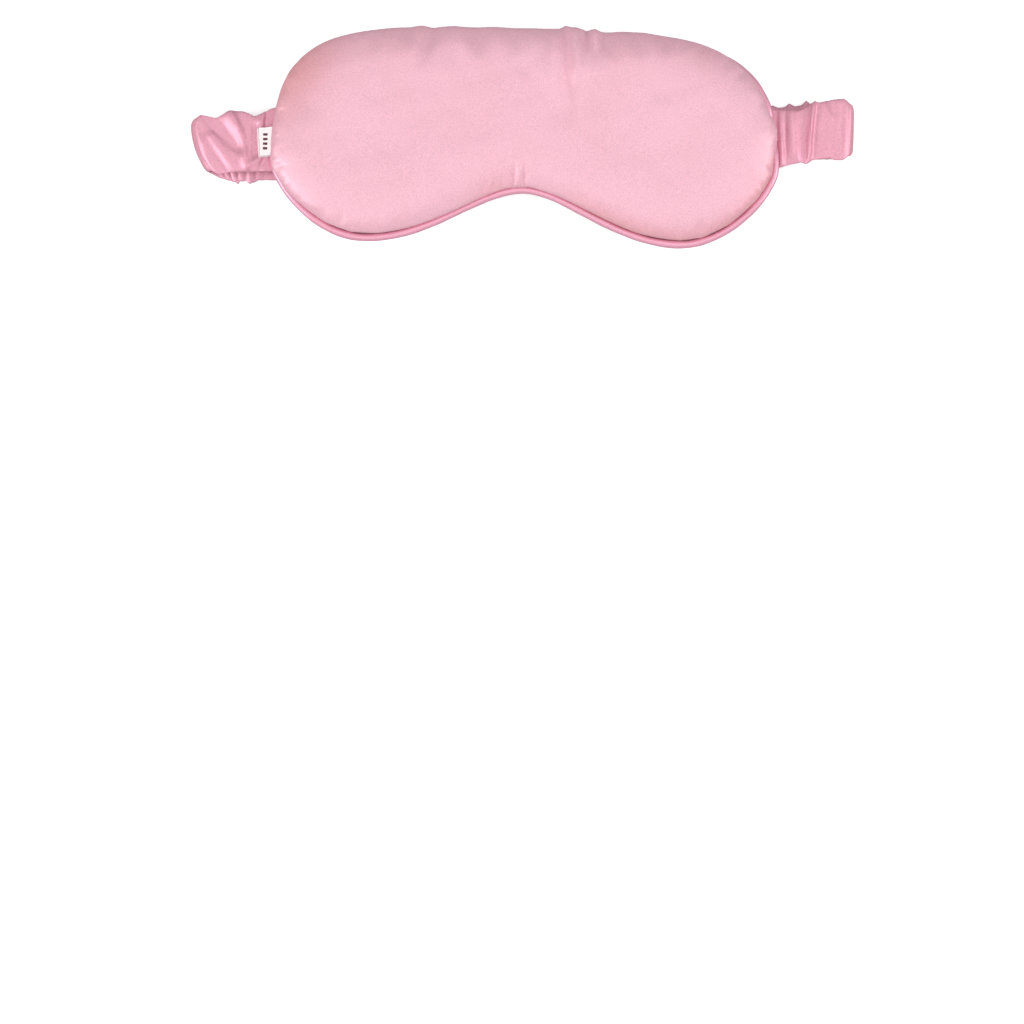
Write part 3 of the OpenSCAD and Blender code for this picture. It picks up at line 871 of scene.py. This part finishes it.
front_puff = FRONT_HIGH[2] - SEAM_Z - PANEL_LIFT
back_puff = SEAM_Z - PANEL_LIFT - BACK_LOW[2]
front, front_seam = make_panel("front_satin", SEAM_Z + PANEL_LIFT, front_puff, 1, front_creases, 5, 0.34)
back, back_seam = make_panel("back_satin", SEAM_Z - PANEL_LIFT, back_puff, -1, back_creases, 23, 0.3)
settle(front, front_seam, 1.2, 0.02, 24, 0.7)
settle(back, back_seam, 0.8, 0.03, 20, 1.0)
piping, piping_core = make_piping()
wadding = make_pad("wadding_fill", 0.9, 2.3, 0)
lining = make_pad("lining_sheet", 0, 1.7, 0.3)
for obj, node, fill in ((front, "front_panel", 0.8), (back, "back_panel", 0.7)):
    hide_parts(node)
    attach(obj, "mask")
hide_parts("piping_cover")
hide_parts("piping_cord")
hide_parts("wadding")
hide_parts("blackout_lining")
for obj, slot in ((piping, "satin_piping"), (piping_core, "cotton_cord"), (wadding, "wadding"),
                  (lining, "dark_lining")):
    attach(obj, "mask")
left, right = make_strap(-1), make_strap(1)
label = make_label()

satin_panel = satin("panel_satin", (238, 184, 200), 0.46, 0.22, 0.22, 2600.0, 0.18, 0.18)
satin_piping = satin("piping_satin", (232, 166, 188), 0.36, 0.14, 0.34, 2000.0, 0.10, 0.12)
satin_strap = satin("strap_satin", (226, 160, 180), 0.42, 0.14, 0.30, 2000.0, 0.18)
ribbon = woven("label_weave", (255, 246, 246), 0.6, 900.0, 0.2, ink=(92, 44, 56))
elastic = woven("elastic_weave", (244, 222, 228), 0.7, 400.0, 0.5)
dress([front, back], satin_panel)
dress([piping], satin_piping)
dress(left["casing"] + right["casing"], satin_strap)
dress(left["elastic"] + right["elastic"], elastic)
dress([label], ribbon)
dress([piping_core], fibre("cord_cotton", (246, 238, 230), 0.85, 900.0))
dress([wadding], fibre("wadding_fibre", (245, 243, 240), 0.95, 500.0))
dress([lining], woven("lining_weave", (28, 28, 30), 0.8, 600.0, 0.3))
tacks = [obj for name, obj in frame["nodes"].items() if "bartack" in name]
dress(tacks, fibre("tack_thread", (226, 152, 175), 0.6, 1500.0))

# ---------------------------------------------------------------- floor, light and camera

floor_mesh = bpy.data.meshes.new("floor")
floor_mesh.from_pydata([(-2, -2, 0), (2, -2, 0), (2, 2, 0), (-2, 2, 0)], [], [(0, 1, 2, 3)])
floor = bpy.data.objects.new("floor", floor_mesh)
bpy.context.scene.collection.objects.link(floor)
paper = Nodes("paper")
paper.shade(Base_Color=(0.92, 0.92, 0.92, 1), Roughness=0.9, Specular_IOR_Level=0.1,
            Emission_Color=(1, 1, 1, 1), Emission_Strength=0.5)
dim = paper.add("ShaderNodeBsdfDiffuse", None, Color=(0.5, 0.48, 0.48, 1))
seen = paper.add("ShaderNodeLightPath").outputs["Is Camera Ray"]
either = paper.add("ShaderNodeMixShader", None, Fac=seen, i1=dim.outputs[0], i2=paper.shader.outputs[0])
paper.tree.links.new(either.outputs[0], paper.tree.nodes["Material Output"].inputs["Surface"])
floor_mesh.materials.append(paper.material)
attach(floor, "strap_left_0")


def area_light(name, place, aim, size, power):
    data = bpy.data.lights.new(name, "AREA")
    data.shape = "RECTANGLE"
    data.size, data.size_y = size
    data.energy = power
    obj = bpy.data.objects.new(name, data)
    obj.location = place
    obj.rotation_euler = (Vector(aim) - Vector(place)).to_track_quat("-Z", "Y").to_euler()
    bpy.context.scene.collection.objects.link(obj)


middle = (0.0, 0.0, 0.01)
area_light("key", (-0.15, -0.62, 1.2), middle, (1.0, 0.7), 1.9)
area_light("top", (0.15, 0.25, 1.45), middle, (1.2, 1.2), 3.75)
area_light("right", (1.05, -0.05, 0.7), middle, (0.6, 0.8), 6.3)
area_light("left", (-1.0, -0.30, 0.7), middle, (0.6, 0.6), 6.6)

world = bpy.data.worlds.new("world")
world.use_nodes = True
sky = world.node_tree
direction = sky.nodes.new("ShaderNodeTexCoord").outputs["Generated"]
parts = sky.nodes.new("ShaderNodeSeparateXYZ")
sky.links.new(direction, parts.inputs[0])
slope = sky.nodes.new("ShaderNodeMath")
slope.operation = "MULTIPLY_ADD"
sky.links.new(parts.outputs["Y"], slope.inputs[0])
slope.inputs[1].default_value = -0.45
sky.links.new(parts.outputs["Z"], slope.inputs[2])
ramp = sky.nodes.new("ShaderNodeMapRange")
sky.links.new(slope.outputs[0], ramp.inputs["Value"])
for key, value in (("From Min", -0.2), ("From Max", 1.0), ("To Min", 0.13), ("To Max", 0.56)):
    ramp.inputs[key].default_value = value
sky.links.new(ramp.outputs["Result"], sky.nodes["Background"].inputs["Strength"])
sky.nodes["Background"].inputs["Color"].default_value = (1, 1, 1, 1)
plain = sky.nodes.new("ShaderNodeBackground")
plain.inputs["Strength"].default_value = 1.0
plain.inputs["Color"].default_value = (1, 1, 1, 1)
seen = sky.nodes.new("ShaderNodeMixShader")
sky.links.new(sky.nodes.new("ShaderNodeLightPath").outputs["Is Camera Ray"], seen.inputs[0])
sky.links.new(sky.nodes["Background"].outputs[0], seen.inputs[1])
sky.links.new(plain.outputs[0], seen.inputs[2])
sky.links.new(seen.outputs[0], sky.nodes["World Output"].inputs["Surface"])
scene = bpy.context.scene
scene.world = world
scene.view_settings.view_transform = "Standard"
scene.view_settings.exposure = 0.0

camera_data = bpy.data.cameras.new("camera")
camera_data.lens = 90
camera = bpy.data.objects.new("camera", camera_data)
scene.collection.objects.link(camera)
scene.camera = camera
distance = 0.430 * camera_data.lens / camera_data.sensor_width
camera.location = (-0.0015, -0.1578, distance + 0.012)
camera.rotation_euler = (0, 0, math.radians(1.3))
